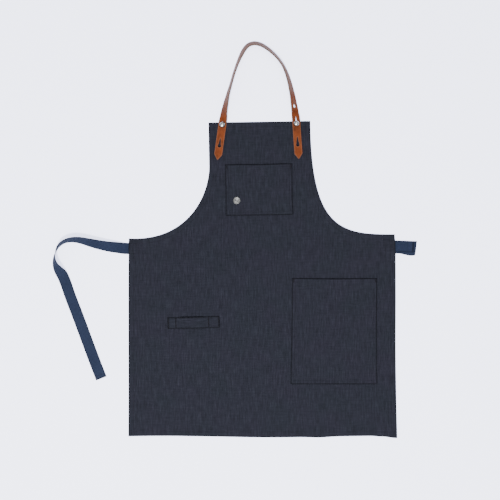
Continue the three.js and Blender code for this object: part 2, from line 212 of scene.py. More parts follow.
class Pattern:
    """Triangles that fill loops[0] but not the other loops, with rows of points beside each edge."""

    def __init__(self, loops, rings, field):
        self.border = Border(loops)
        rows = []
        for i, loop in enumerate(loops):
            step = offsets(loop, i == 0)
            for ring in rings:
                row = loop + step * ring
                near, _ = self.border.nearest(row)
                rows.append(row[near > 0.97 * ring])
        near, _ = self.border.nearest(field)
        rows.append(field[near > rings[-1] + 0.9])
        rows = np.vstack(rows)
        rows = rows[self.within(rows, loops)]
        edges, first = [], 0
        for loop in loops:
            n = len(loop)
            edges += [(first + k, first + (k + 1) % n) for k in range(n)]
            first += n
        points = np.vstack(loops + [rows])
        verts, _, faces, *_ = delaunay_2d_cdt([Vector(p) for p in points], edges, [], 0, 1e-4, False)
        self.points = np.array([tuple(v) for v in verts])
        faces = np.array([f for f in faces if len(f) == 3])
        faces = faces[self.within(self.points[faces].mean(axis=1), loops)]
        self.edge, self.along = self.border.nearest(self.points)
        self.rim = self.edge < 1e-4
        self.faces = faces[~self.rim[faces].all(axis=1)]

    @staticmethod
    def within(points, loops):
        keep = inside(points, loops[0])
        for loop in loops[1:]:
            keep &= ~inside(points, loop)
        return keep


def flat_piece(name, pattern, top, bottom, place, slot, weave=None):
    """A closed mesh from a pattern: two skins that meet at the rim."""
    rim, points, n = pattern.rim, pattern.points, len(pattern.points)
    upper = place(points, np.where(rim, (top + bottom) / 2, top))
    lower = place(points[~rim], bottom[~rim])
    below = np.where(rim, np.arange(n), n - 1 + np.cumsum(~rim))
    faces = np.vstack([pattern.faces, below[pattern.faces[:, ::-1]]])
    mesh = mesh_of(name, np.vstack([upper, lower]), faces.tolist())
    corner = np.empty(len(mesh.loops), int)
    mesh.loops.foreach_get("vertex_index", corner)
    cloth = points if weave is None else weave(points)
    beside = np.column_stack([pattern.along, pattern.edge])
    for layer, values in (("weave", cloth), ("edge", beside)):
        both = np.vstack([values, values[~rim]]) * MM
        mesh.uv_layers.new(name=layer).data.foreach_set("uv", both[corner].astype(np.float32).ravel())
    side = mesh.attributes.new("face_side", "FLOAT", "POINT")
    side.data.foreach_set("value", np.concatenate(
        [np.where(rim, 0.5, 1.0), np.zeros(len(lower))]).astype(np.float32))
    return finish_piece(name, mesh, slot)


def mesh_of(name, points, faces):
    """A mesh in metres from points in millimetres."""
    mesh = bpy.data.meshes.new(name)
    mesh.from_pydata((points * MM).tolist(), [], faces)
    return mesh


def in_scene(name, data):
    obj = bpy.data.objects.new(name, data)
    bpy.context.scene.collection.objects.link(obj)
    return obj


def finish_piece(name, mesh, slot):
    mesh.polygons.foreach_set("use_smooth", np.ones(len(mesh.polygons), bool))
    mesh.materials.append(LOOKS[slot])
    obj = in_scene(name, mesh)
    return obj


def rounded(top, bottom, edge, reach=0.9):
    """A face and a back that close in a round edge."""
    around = np.sqrt(1 - (1 - np.clip(edge / reach, 0, 1)) ** 2)
    middle = (top + bottom) / 2
    return middle + (top - middle) * around, middle + (bottom - middle) * around


# ---- materials


class Look:
    """A material's node tree, with a short way to add each kind of node."""

    def __init__(self, name):
        self.material = bpy.data.materials.new(name)
        self.material.use_nodes = True
        self.tree = self.material.node_tree
        self.shader = self.tree.nodes["Principled BSDF"]

    def add(self, kind, inputs=None, **settings):
        made = self.tree.nodes.new(kind)
        for key, value in settings.items():
            setattr(made, key, value)
        self.set(made, inputs or {})
        return made

    def set(self, target, inputs):
        for key, value in inputs.items():
            socket = target.inputs[key]
            if isinstance(value, bpy.types.NodeSocket):
                self.tree.links.new(value, socket)
            else:
                socket.default_value = (*value, 1) if socket.type == "RGBA" else value

    def finish(self, inputs):
        self.set(self.shader, inputs)
        return self.material

    def space(self):
        return self.add("ShaderNodeTexCoord").outputs["Object"]

    def uv(self, scale=(1, 1, 1), turn=0.0, layer="weave"):
        return self.scale(self.add("ShaderNodeUVMap", uv_map=layer).outputs[0], scale, turn)

    def scale(self, vector, scale, turn=0.0):
        return self.add("ShaderNodeMapping", {
            "Vector": vector, "Scale": scale, "Rotation": (0, 0, turn)}).outputs[0]

    def noise(self, vector, scale=1.0, detail=3.0, rough=0.55):
        return self.add("ShaderNodeTexNoise", {
            "Vector": vector, "Scale": scale, "Detail": detail, "Roughness": rough}).outputs[0]

    def wave(self, vector, scale, distortion=0.6, shape="SIN"):
        return self.add("ShaderNodeTexWave", {
            "Vector": vector, "Scale": scale, "Distortion": distortion, "Detail": 1.0,
            "Detail Scale": 1.5}, wave_profile=shape).outputs[1]

    def fit(self, value, low, high, to_low=0.0, to_high=1.0):
        return self.add("ShaderNodeMapRange", {
            "Value": value, "From Min": low, "From Max": high, "To Min": to_low, "To Max": to_high,
        }).outputs[0]

    def math(self, a, b, operation="MULTIPLY"):
        return self.add("ShaderNodeMath", {0: a, 1: b}, operation=operation).outputs[0]

    def ramp(self, value, *stops):
        made = self.add("ShaderNodeValToRGB", {0: value})
        elements = made.color_ramp.elements
        while len(elements) < len(stops):
            elements.new(0.5)
        for element, (place, colour) in zip(elements, stops):
            element.position = place
            element.color = (*colour, 1)
        return made.outputs[0]

    def mix(self, share, a, b, way="MIX"):
        made = self.add("ShaderNodeMix", {0: share, 6: a, 7: b}, data_type="RGBA", blend_type=way)
        return made.outputs[2]

    def shades(self, value, colour, *stops):
        """A colour made darker or lighter by a value."""
        return self.ramp(value, *[(place, scaled(colour, k)) for place, k in stops])

    def tint(self, colour, value, *stops):
        """A colour multiplied by a ramp."""
        return self.mix(1.0, colour, self.ramp(value, *stops), "MULTIPLY")

    def facing(self):
        """1 on a piece's face side, 0 on its back."""
        return self.add("ShaderNodeAttribute", attribute_name="face_side").outputs["Fac"]

    def bump(self, height, strength, distance, under=None):
        inputs = {"Height": height, "Strength": strength, "Distance": distance}
        if under is not None:
            inputs["Normal"] = under
        return self.add("ShaderNodeBump", inputs).outputs[0]

    def beside(self):
        """How far from a piece's edge a place is, in metres."""
        where = self.add("ShaderNodeUVMap", uv_map="edge")
        return self.add("ShaderNodeSeparateXYZ", {0: where.outputs[0]}).outputs[1]

    def near(self, reach):
        """1 at a piece's edge, falling to 0 at reach metres from it."""
        return self.fit(self.beside(), 0.0, reach, 1.0, 0.0)


def scaled(colour, k):
    return tuple(c * k for c in colour)


DENIM = (0.0114, 0.0118, 0.0172)
TAPE = (0.0118, 0.0168, 0.0345)
THREAD = (0.0058, 0.006, 0.0088)
LEATHER = (0.096, 0.0218, 0.0068)
LEATHER_EDGE = (0.086, 0.06, 0.052)
LEATHER_BACK = (0.075, 0.042, 0.026)
NICKEL = (0.33, 0.325, 0.315)
LOOP_START, LOOP_END = 0.098, 0.46  # metres along the strap: its neck loop, where it stands on edge and is painted greyer as reflection


def denim_look():
    look = Look("denim_twill")
    slub = look.noise(look.uv((330, 34, 1)), 1.0, 4.0, 0.6)
    cross = look.noise(look.uv((38, 300, 1)), 1.0, 3.0, 0.6)
    yarn = look.noise(look.uv((1150, 75, 1)), 1.0, 2.0, 0.6)
    weft = look.noise(look.uv((60, 1300, 1)), 1.0, 2.0, 0.6)
    fade = look.noise(look.uv(), 13.0, 4.0, 0.55)
    speck = look.noise(look.uv((1, 0.45, 1)), 1500.0, 1.0, 0.5)
    twill = look.wave(look.uv(turn=math.radians(-62)), 262.0, 1.1)
    colour = look.shades(slub, DENIM, (0.3, 0.72), (0.52, 1), (0.72, 1.36))
    colour = look.tint(colour, fade, (0.36, (0.94, 1.01, 0.98)), (0.64, (1.03, 1.0, 1.04)))
    colour = look.tint(colour, yarn, (0.3, (0.86, 0.86, 0.86)), (0.7, (1.14, 1.14, 1.14)))
    colour = look.tint(colour, cross, (0.3, (0.86, 0.87, 0.88)), (0.7, (1.15, 1.14, 1.13)))
    colour = look.mix(look.fit(speck, 0.62, 0.78, 0.0, 0.45), colour, (0.032, 0.034, 0.042))
    rubbed = look.math(look.near(0.0042), look.fit(look.noise(look.uv(), 260.0), 0.42, 0.66))
    colour = look.mix(look.math(rubbed, 0.4), colour, (0.021, 0.0225, 0.029))
    # Painted shade: the colour darkens towards every edge of the denim pieces, to 0.38 of itself in the
    # last 0.7 mm.
    colour = look.tint(colour, look.near(0.0036), (0.1, (1, 1, 1)), (0.8, (0.38, 0.38, 0.38)))
    cloth = look.math(look.math(twill, 0.6), look.math(look.math(yarn, weft, "ADD"), 0.4), "ADD")
    normal = look.bump(cloth, 0.42, 0.0006)
    normal = look.bump(slub, 0.35, 0.0007, normal)
    normal = look.bump(fade, 0.5, 0.0016, normal)
    return look.finish({
        "Base Color": colour, "Normal": normal, "Roughness": look.fit(slub, 0.2, 0.8, 0.86, 0.97),
        "Specular IOR Level": 0.04, "Sheen Weight": 0.02, "Sheen Roughness": 0.55,
        "Sheen Tint": (0.62, 0.68, 0.85)})


def tape_look():
    look = Look("twill_tape")
    rib = look.wave(look.uv(turn=math.radians(48)), 235.0, 0.4)
    counter = look.wave(look.uv(turn=math.radians(-48)), 235.0, 0.4)
    zig = look.wave(look.uv((0, 1, 1), math.radians(90)), 26.0, 0.0, "TRI")
    chevron = look.mix(look.fit(zig, 0.49, 0.51), rib, counter)
    fibre = look.noise(look.uv((160, 900, 1)), 1.0, 3.0, 0.6)
    shade = look.noise(look.uv(), 22.0, 3.0, 0.5)
    colour = look.shades(fibre, TAPE, (0.3, 0.72), (0.7, 1.25))
    colour = look.tint(colour, chevron, (0.2, (0.84, 0.84, 0.86)), (0.8, (1.1, 1.1, 1.1)))
    colour = look.tint(colour, shade, (0.35, (0.9, 0.92, 0.92)), (0.65, (1.08, 1.06, 1.06)))
    colour = look.tint(colour, look.facing(), (0.4, (1.13, 1.11, 1.09)), (0.6, (1.0, 1.0, 1.0)))
    # Painted shade: the tape darkens towards its edges and ends, to 0.4 of its colour at the very edge.
    colour = look.mix(look.near(0.0032), colour, scaled(TAPE, 0.4))
    normal = look.bump(chevron, 0.45, 0.0005)
    normal = look.bump(fibre, 0.35, 0.0005, normal)
    return look.finish({
        "Base Color": colour, "Normal": normal, "Roughness": look.fit(fibre, 0.2, 0.8, 0.78, 0.92),
        "Specular IOR Level": 0.05, "Sheen Weight": 0.03, "Sheen Roughness": 0.45,
        "Sheen Tint": (0.6, 0.68, 0.95)})


def thread_look():
    look = Look("polyester_thread")
    where = look.space()
    ply = look.noise(where, 2600.0, 2.0, 0.6)
    shade = look.noise(where, 60.0)
    colour = look.shades(ply, THREAD, (0.3, 0.6), (0.72, 1.7))
    colour = look.tint(colour, shade, (0.3, (1.15, 0.95, 0.95)), (0.7, (0.9, 1.0, 1.1)))
    return look.finish({
        "Base Color": colour, "Normal": look.bump(ply, 0.5, 0.0002),
        "Roughness": look.fit(ply, 0.3, 0.7, 0.5, 0.7), "Specular IOR Level": 0.08})


def leather_look():
    look = Look("veg_tanned_leather")
    flat = look.uv()
    pores = look.add("ShaderNodeTexVoronoi", {"Vector": flat, "Scale": 1150.0, "Randomness": 1.0},
                     feature="DISTANCE_TO_EDGE").outputs[0]
    grain = look.noise(flat, 900.0, 4.0, 0.6)
    cloud = look.noise(flat, 55.0, 4.0, 0.6)
    streak = look.noise(look.uv((25, 320, 1)), 1.0, 3.0, 0.6)
    colour = look.shades(cloud, LEATHER, (0.32, 0.62), (0.5, 1), (0.68, 1.3))
    colour = look.tint(colour, streak, (0.3, (0.88, 0.86, 0.84)), (0.7, (1.1, 1.1, 1.08)))
    # Painted highlight: a lighter line from 0.5 to 2.5 mm in from the strap's edges, beside its creased
    # groove.
    crease = look.ramp(look.fit(look.beside(), 0.0, 0.005),
                       (0.1, (0, 0, 0)), (0.24, (1, 1, 1)), (0.36, (0.9, 0.9, 0.9)), (0.5, (0, 0, 0)))
    colour = look.mix(look.math(crease, 0.45), colour, (0.17, 0.062, 0.029))
    around = look.add("ShaderNodeSeparateXYZ", {0: flat}).outputs[0]
    # Painted reflection: over the neck loop, where the strap stands on edge, the leather is painted a
    # greyer, lighter brown.
    loop_reflection_mask = look.math(look.fit(around, LOOP_START, LOOP_START + 0.052),
                        look.fit(around, LOOP_END - 0.02, LOOP_END, 1.0, 0.0))
    painted_reflection = look.ramp(cloud, (0.3, (0.08, 0.036, 0.023)), (0.7, (0.125, 0.062, 0.043)))
    colour = look.mix(look.math(loop_reflection_mask, 0.85), colour, painted_reflection)
    colour = look.mix(look.fit(pores, 0.0, 0.12, 0.35, 0.0), colour, scaled(LEATHER, 0.45))
    nap = look.shades(grain, LEATHER_BACK, (0.3, 0.75), (0.7, 1.25))
    colour = look.mix(look.fit(look.facing(), 0.05, 0.3, 1.0, 0.0), colour, nap)
    fuzz = look.noise(look.uv((1500, 120, 1), layer="edge"), 1.0, 3.0, 0.6)
    cut = look.shades(fuzz, LEATHER_EDGE, (0.3, 0.8), (0.7, 1.2))
    colour = look.mix(look.fit(look.near(0.0006), 0.25, 0.75), colour, cut)
    normal = look.bump(pores, 0.3, 0.0004)
    normal = look.bump(grain, 0.25, 0.0004, normal)
    return look.finish({
        "Base Color": colour, "Normal": normal, "Roughness": look.fit(cloud, 0.3, 0.7, 0.42, 0.6),
        "Specular IOR Level": 0.09, "Specular Tint": (1.0, 0.66, 0.45)})


def nickel_look():
    look = Look("nickel_plate")
    where = look.space()
    wear = look.noise(where, 160.0, 4.0, 0.6)
    fine = look.noise(look.scale(where, (1, 1, 9)), 3200.0)
    return look.finish({
        "Base Color": look.shades(wear, NICKEL, (0.3, 0.78), (0.7, 1)),
        "Metallic": 1.0, "Roughness": look.fit(wear, 0.3, 0.7, 0.2, 0.32),
        "Normal": look.bump(fine, 0.08, 0.0002)})


def badge_look():
    look = Look("brushed_badge")
    where = look.space()
    brush = look.noise(look.scale(where, (60, 2600, 60), math.radians(40)), 1.0, 3.0, 0.6)
    wear = look.noise(where, 420.0, 3.0, 0.6)
    tint = look.ramp(brush, (0.32, (0.05, 0.05, 0.05)), (0.68, (0.15, 0.15, 0.148)))
    return look.finish({
        "Base Color": tint, "Metallic": 1.0, "Roughness": look.fit(wear, 0.3, 0.7, 0.34, 0.5),
        "Normal": look.bump(brush, 0.25, 0.0002)})


LOOKS = {
    "denim": denim_look(), "tape": tape_look(), "thread": thread_look(), "leather": leather_look(),
    "nickel": nickel_look(), "badge_metal": badge_look()}

# ---- thread


def stitch_shape():
    """One stitch along X, one unit long: six-sided, thick in the middle, its ends sunk into the cloth."""
    rings, sides = (-0.5, -0.36, 0.0, 0.36, 0.5), 6
    rows = []
    for u in rings:
        r = 0.3 * (1 - (2 * u) ** 4 * 0.62)
        z = 0.14 - 0.75 * abs(u) ** 2
        for k in range(sides):
            a = 2 * math.pi * k / sides
            rows.append((u, r * math.cos(a), z + 0.8 * r * math.sin(a)))
    faces = []
    for i in range(len(rings) - 1):
        low, high = i * sides, (i + 1) * sides
        faces += [(low + k, high + k, high + (k + 1) % sides, low + (k + 1) % sides) for k in range(sides)]
    faces.append(tuple(range(sides)))
    faces.append(tuple(reversed(range((len(rings) - 1) * sides, len(rings) * sides))))
    return np.array(rows), faces


def thread_piece(name, middles, alongs, ups=(0.0, 0.0, 1.0), length=2.7, thick=1.0):
    """A mesh of stitches, each at its middle, pointing along and lying under up."""
    shape, faces = stitch_shape()
    alongs = unit(np.broadcast_to(alongs, middles.shape))
    ups = unit(ups - alongs * (ups * alongs).sum(1)[:, None])
    across = np.cross(ups, alongs)
    at = (middles[:, None] + alongs[:, None] * (shape[:, 0] * length)[None, :, None]
          + across[:, None] * (shape[:, 1] * thick)[None, :, None]
          + ups[:, None] * (shape[:, 2] * thick)[None, :, None])
    n = len(shape)
    every = [tuple(i * n + k for k in face) for i in range(len(middles)) for face in faces]
    return finish_piece(name, mesh_of(name, at.reshape(-1, 3), every), "thread")


def seam(line, surface, pitch=3.4):
    """Middles and directions of the stitches along a flat line on a surface that gives a height."""
    at = evenly(line, pitch, last=True)
    middle = (at[1:] + at[:-1]) / 2
    flat = np.concatenate([at, middle])
    height = surface(flat)
    ends = np.column_stack([at, height[:len(at)]])
    return np.column_stack([middle, height[len(at):]]), np.diff(ends, axis=0)


def joined(seams):
    return [np.vstack(group) for group in zip(*seams)]


def placed(seams, place):
    """Stitches carried from a pattern to where it lies."""
    middles, alongs = joined(seams)
    start, middle, end = (
        place(at[:, :2], at[:, 2]) for at in (middles - alongs / 2, middles, middles + alongs / 2))
    return middle, end - start


# ---- body panel


def armhole(side):
    """An armhole's edge in the pattern, from the top of the bib down to the waist corner."""
    if side < 0:
        curve = bezier([(118.8, 194.2), (119.2, 132.8), (165.6, 18.9), (WAIST_HALF - 1, WAIST_Y)])
        curve = np.vstack([[(118.9, BIB_TOP)], curve])
    else:
        curve = bezier([(119.3, BIB_TOP), (117.7, 40.1), (186.5, 29.6), (WAIST_HALF + 2, WAIST_Y)])
    return curve * (side, 1)


def hem_line(x):
    """The hem lies in a slow wave, its corner on the pocket side pulled down a little."""
    sag = 1.8 * np.exp(-((x - 135) / 28) ** 2)
    sag += 1.5 * smooth((x - 255) / 25) + 3.2 * smooth((x - 282) / 30)
    return -440.1 - 1.7 * np.cos(2 * np.pi * (x - 20) / 500) - sag


def panel_outline():
    x = np.linspace(-HEM_HALF - 0.5, HEM_HALF + 3.4, 160)
    hem = np.column_stack([x, hem_line(x)])
    right, left = lay(armhole(1)), lay(armhole(-1))
    side = through([hem[-1], (313.5, -330), (312.4, -237), (312.7, -97), (311.5, 4), right[-1]], 6.0)
    far = through([left[-1], (-312.6, -40), (-312.8, -180), (-312.6, -330), hem[0]], 6.0)
    pieces = [hem, side, right[::-1], np.array([right[0], left[0]]), left, far]
    return [evenly(piece, 2.6) for piece in pieces]


OUTLINE = panel_outline()


def off_strip(points, start, degrees, length, half):
    """How far points are outside a strip of tape."""
    a = math.radians(degrees)
    p = points - np.array(start)
    u = p[:, 0] * math.cos(a) + p[:, 1] * math.sin(a)
    v = -p[:, 0] * math.sin(a) + p[:, 1] * math.cos(a)
    du, dv = np.maximum(np.maximum(-u, u - length), 0), np.maximum(np.abs(v) - half, 0)
    return np.hypot(du, dv)


def stud_at(side):
    return lay((side * (BIB_HALF - 31.2), BIB_TOP - 6.4))


def over(distance, height, slope):
    """Cloth that steps up over something height tall and comes down over slope."""
    return height * (1 - smooth((distance - 0.5) / slope))


def seat(points):
    """What lies under the panel lifts it: the tie ends, the folded-back tie and the screw heads."""
    half = TAPE_WIDTH / 2
    lift = over(off_strip(points, (FOLD_X - 2, RIGHT_TIE_Y), 180 + RETURN_SLOPE, RETURN_RUN + 6, half),
                TAPE_SEAT, 16)
    for start, degrees, height in (
            ((LEFT_EDGE, 0), 0, TAPE_SEAT), ((RIGHT_EDGE, RIGHT_TIE_Y), 180, 2 * TAPE_SEAT)):
        lift = np.maximum(lift, over(off_strip(points, start, degrees, TAPE_SEWN, half), height, 5))
    for side in (-1, 1):
        away = np.linalg.norm(points - stud_at(side), axis=1) - 5
        lift = np.maximum(lift, over(np.maximum(away, 0), 1.3, 4))
    return lift


def ripple(points):
    """Cloth is never dead flat: a faint unevenness, and slow flutes along the hem."""
    x, y = points.T
    low = 0.16 * (1 + np.sin(x / 19 + 1.3 * np.sin(y / 47)) * np.sin(y / 27 + 1.1 * np.sin(x / 61)))
    flutes = 0.8 * (1 + np.sin((x + 30) / 37 + 0.7 * np.sin(x / 83))) * smooth((-335 - y) / 95)
    return low + flutes


def panel_skins(points, edge, along):
    """Heights of the panel's face and back: a double-folded hem, stitched down, that single cloth slopes
    away from, with the small slanting puckers that the stitching pulls into it."""
    flat = unlay(points)
    facing = smooth((FACING_END - np.abs(flat[:, 0])) / 5) * smooth((flat[:, 1] - 16) / 3)
    facing *= smooth((BIB_TOP - HEM - 1 - flat[:, 1]) / 4)
    hem = 1 - smooth((edge - 12.8) / 7)
    body = CLOTH + (HEM_TOP - CLOTH) * hem
    pucker = 0.17 * np.sin(2 * np.pi * (along / 8.3 + edge / 13)) * smooth(edge / 4) * (
        1 - smooth((edge - 12) / 5))
    dimple = 0.34 * np.exp(-((edge - 12.0) / 0.8) ** 2)
    top = body + pucker - dimple
    back = np.where(edge < 13.9, 1.4 * facing, body - CLOTH)
    lift = seat(points) + ripple(points) * (1 - 0.5 * hem)
    return [skin + lift for skin in rounded(top, back, edge, 1.3)]


HEM_RINGS = (0.25, 0.8, 2.0, 4.6, 7.6, 10.4, 12.0, 13.3, 14.4, 17.0, 19.6)


def body_panel():
    loop = np.vstack(OUTLINE)
    field = hexes((-315, -440), (315, 304), 4.6)
    band = hexes((-315, FOLD_START - 5), (315, FOLD_END + 6), 3.0)
    calm = (field[:, 1] < FOLD_START - 5) | (field[:, 1] > FOLD_END + 6)
    pattern = Pattern([loop], HEM_RINGS, np.vstack([field[calm], band]))
    skins = panel_skins(pattern.points, pattern.edge, pattern.along)
    panel = flat_piece("apron_body", pattern, *skins, raised, "denim")
    return panel, pattern.border, abs(area_of(loop))


def raised(points, heights):
    return np.column_stack([points, heights])


def bent(obj):
    """The body cloth and what is sewn across its crease: their placement is baked into their meshes."""
    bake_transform(obj)


panel, panel_border, panel_area = body_panel()
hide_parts("skirt_panel", "bib_panel")


def panel_face(points):
    edge, along = panel_border.nearest(points)
    return panel_skins(points, edge, along)[0]


def inset_line(pieces, inset):
    """A line parallel to joined pieces of the outline."""
    loop = np.vstack(pieces)
    return loop + offsets(loop, True) * inset


def body_stitching():
    loop = np.vstack(OUTLINE)
    row = inset_line([loop], 12.0)
    near, _ = panel_border.nearest(row)
    row = row[near > 11.7]
    seams = [seam(np.vstack([row, row[:1]]), panel_face)]
    box = 11.4  # half the width of the stitched boxes that hold the ties
    for side, edge, middle in ((-1, LEFT_EDGE, 0), (1, RIGHT_EDGE, RIGHT_TIE_Y)):
        low, high = middle - box, middle + box
        for inset in (4.0, 9.0, 20.0):
            x = edge - side * inset
            seams.append(seam([(x, low), (x, high)], panel_face, 2.2))
        for y in (low, high):
            seams.append(seam([(edge - side * 4, y), (edge - side * 20, y)], panel_face, 2.2))
    obj = thread_piece("body_stitching", *joined(seams))
    bent(obj)


def facing(side, word):
    """A strip of the body cloth on the back of an armhole."""
    curve = evenly(armhole(side), 3.0, last=True)
    ahead = unit(np.gradient(curve, axis=0))
    normal = np.column_stack([ahead[:, 1], -ahead[:, 0]]) * side
    lines = []
    for inset in (0.7, 0.7 + FACING_WIDTH):
        line = curve + normal * inset
        keep = (np.abs(line[:, 0]) < FACING_END) & (line[:, 1] < BIB_TOP - HEM - 1.6)
        lines.append(line[keep])
    outer, inner = lines
    loop = np.vstack([evenly(piece, 2.6) for piece in (
        outer, [outer[-1], inner[-1]], inner[::-1], [inner[0], outer[0]])])
    loop = lay(loop)
    pattern = Pattern([loop], (0.3, 0.9, 2.0, 4.0), hexes(loop.min(0), loop.max(0), 3.2))
    around = np.sqrt(1 - (1 - np.clip(pattern.edge / 0.9, 0, 1)) ** 2)
    pucker = 0.06 * np.sin(2 * np.pi * pattern.along / 8.3)
    top, bottom = 0.55 + 0.55 * around, 0.55 - (0.5 + pucker) * around
    obj = flat_piece(f"{word}_armhole_tape", pattern, top, bottom, raised, "denim")
    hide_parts(f"{word}_armhole_facing")
    bent(obj)


bent(panel)
body_stitching()
facing(-1, "left")
facing(1, "right")

# ---- pockets


MOUTH_HEM = 18.0  # how deep the pockets' mouths are hemmed


class Pocket:
    """A patch pocket: edges turned under and sewn on three sides in two rows, a hemmed mouth that stands
    a little open."""

    def __init__(self, name, width, height, x, y, gape, laid, skew=0.0):
        self.name, self.width, self.height, self.gape = name, width, height, gape
        self.x, self.y, self.laid, self.skew = x, y, laid, skew

    def lift(self, x, y):
        up = (y + self.height / 2) / self.height
        side = self.width / 2 - np.abs(x)
        return self.gape * smooth(up * 0.92) * smooth(side / 30)

    def place(self, points, heights):
        x, y = points.T
        x = x + self.skew * (y / self.height) * (0.5 - x / self.width)
        sag = -1.1 * smooth((y / self.height - 0.3) / 0.2) * np.sin(np.pi * (x / self.width + 0.5)) ** 2
        at = np.column_stack([x + self.x, y + self.y + sag])
        if self.laid:
            at = lay(at)
        return np.column_stack([at, heights])

    def skins(self, points, edge=None):
        x, y = points.T
        sewn = np.minimum(self.width / 2 - np.abs(x), y + self.height / 2)
        mouth = self.height / 2 - y
        edge = np.minimum(sewn, mouth) if edge is None else edge
        turned = 1 - smooth((sewn - 8.6) / 2.4)
        hem = 1 - smooth((mouth - MOUTH_HEM - 1.5) / 2.5)
        thick = CLOTH + 0.75 * np.maximum(turned, hem)
        rows = sum(np.exp(-((sewn - row) / 0.7) ** 2) for row in (2.2, 8.0))
        rows = np.maximum(rows, np.exp(-((mouth - MOUTH_HEM) / 0.7) ** 2))
        pucker = 0.09 * np.sin(2 * np.pi * (x + y) / 8) * (turned + hem)
        bottom = CLOTH + GAP + self.lift(x, y) + 0.1 * (
            1 + np.sin(x / 13 + np.sin(y / 31)) * np.sin(y / 17)) * (1 - turned)
        return rounded(bottom + thick + pucker - 0.3 * rows, bottom, edge)

    def build(self, body, *tacks):
        w, h, r = self.width / 2, self.height / 2, 2.0
        bow = 0.8 * np.sin(np.linspace(0, np.pi, 30))
        right = np.column_stack([w - bow, np.linspace(-h + r, h, 30)])
        left = right[::-1] * (-1, 1)
        foot = [(-w, -h + r), (-w + r, -h), (w - r, -h), (w, -h + r)]
        sides = [foot[1:3], foot[2:], right, [(w, h), (-w, h)], left, foot[:2]]
        loop = np.vstack([evenly(side, 2.4) for side in sides])
        pattern = Pattern([loop], (0.25, 0.8, 1.5, 2.2, 3.0, 5.2, 7.2, 8.0, 8.8, 10.6),
                          np.vstack([hexes((-w, -h), (w, h - 24), 4.0),
                                     hexes((-w, h - 24), (w, h), 2.0)]))
        skins = self.skins(pattern.points, pattern.edge)
        offset = np.array((self.x, self.y)) + 37.0
        obj = flat_piece(self.name + "_cloth", pattern, *skins, self.place, "denim",
                         lambda points: points + offset)
        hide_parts(self.name)
        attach(obj, body)
        self.stitch(body)
        self.tack(body, tacks)

    def stitch(self, body):
        w, h = self.width / 2, self.height / 2
        face = lambda points: self.skins(points)[0]
        seams = [seam([(-w + d, h - 1.5), (-w + d, -h + d), (w - d, -h + d), (w - d, h - 1.5)], face)
                 for d in (2.6, 8.0)]
        seams.append(seam([(-w + 8.8, h - MOUTH_HEM), (w - 8.8, h - MOUTH_HEM)], face))
        obj = thread_piece(self.name + "_stitching", *placed(seams, self.place))
        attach(obj, body)

    def tack(self, body, nodes):
        """Bar tacks: threads side by side over the ends of the mouth."""
        w, h = self.width / 2, self.height / 2
        rows = np.array([(side * (w - 4.2), h - 2.0 - 0.58 * k) for side in (-1, 1) for k in range(15)])
        at = self.place(rows, self.skins(rows)[0] + 0.35)
        obj = thread_piece(self.name + "_bar_tacks", at, (1.0, 0.12, 0.0), length=3.2, thick=1.15)
        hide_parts(*nodes)
        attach(obj, body)


Pocket("hand_pocket", 201, 248, 168.5, -193.4, 1.3, False, 3.4).build(
    "skirt", "hand_pocket_tack_left", "hand_pocket_tack_right")
bib_pocket = Pocket("bib_pocket", 158, 120, -3.1, BIB_TOP - 158.8, 1.8, True)
bib_pocket.build("bib", "bib_pocket_tack_left", "bib_pocket_tack_right")

# ---- towel loop


def towel_loop():
    length, width, rise, thick = 122.0, 27.0, 3.4, 1.6
    turn, at_x, at_y = math.radians(1.3), -160.4, -172.9
    w, h = length / 2, width / 2

    def arch(x):
        return rise * smooth((x + w - 23) / 14) * smooth((w - 30 - x) / 14)

    def skins(points, edge=None):
        x, y = points.T
        edge = np.minimum(w - np.abs(x), h - np.abs(y)) if edge is None else edge
        crown = 0.25 * (1 - (y / h) ** 2)
        row = np.exp(-((h - np.abs(y) - 2.6) / 0.6) ** 2)
        pucker = 0.1 * np.sin(2 * np.pi * x / 7 + y)
        bottom = CLOTH + GAP + arch(x)
        top = bottom + thick + crown + pucker * smooth(edge / 2) - 0.3 * row
        return rounded(top, bottom, edge)

    def place(points, heights):
        x, y = points.T
        y = y - 0.6 * np.sin(np.pi * (x / length + 0.5))
        return np.column_stack([x * math.cos(turn) - y * math.sin(turn) + at_x,
                                x * math.sin(turn) + y * math.cos(turn) + at_y, heights])

    loop = closed([(-w, -h), (w, -h), (w, h), (-w, h)], 2.2)
    pattern = Pattern([loop], (0.25, 0.8, 1.9, 2.6, 3.4), hexes((-w, -h), (w, h), 2.4))
    obj = flat_piece("towel_loop_web", pattern, *skins(pattern.points, pattern.edge), place, "denim",
                     lambda points: points[:, ::-1] + 500)
    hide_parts("towel_loop")
    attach(obj, "skirt")

    face = lambda points: skins(points)[0]
    seams = [seam([(-w + 2, y), (w - 2, y)], face, 3.2) for y in (-h + 2.6, -h + 1.1, h - 2.6, h - 1.1)]
    for x0, x1 in ((-w + 2.2, -w + 19), (w - 26, w - 4)):
        seams.append(seam([(x0, -h + 4.4), (x1, -h + 4.4)], face, 2.6))
        seams.append(seam([(x0, h - 4.4), (x1, h - 4.4)], face, 2.6))
    rows = thread_piece("towel_loop_stitching", *placed(seams, place), length=2.4)
    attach(rows, "skirt")

    ends = ((-w + 2.5, 11.4), (-w + 19.5, 11.4), (w - 26, 11.4), (w - 2.5, 12.2))
    bars = np.array([(x + 0.5 * (k % 2), y) for x, reach in ends
                     for k, y in enumerate(np.arange(-reach, reach, 0.62))])
    at = place(bars, skins(bars)[0] + 0.3)
    tacks = thread_piece("towel_loop_bar_tacks", at, (1.0, 0.1, 0.0), length=2.4, thick=1.15)
    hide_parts(*[f"towel_loop_tack_{k}" for k in (
        "left_outer", "left_inner", "right_inner", "right_outer")])
    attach(tacks, "skirt")


towel_loop()

# ---- strap and ties


def eased(at, places, values, reach=7.0):
    """Values between places, with their corners rounded off."""
    shifts = np.linspace(-reach, reach, 9)
    return np.mean([np.interp(at + shift, places, values) for shift in shifts], axis=0)


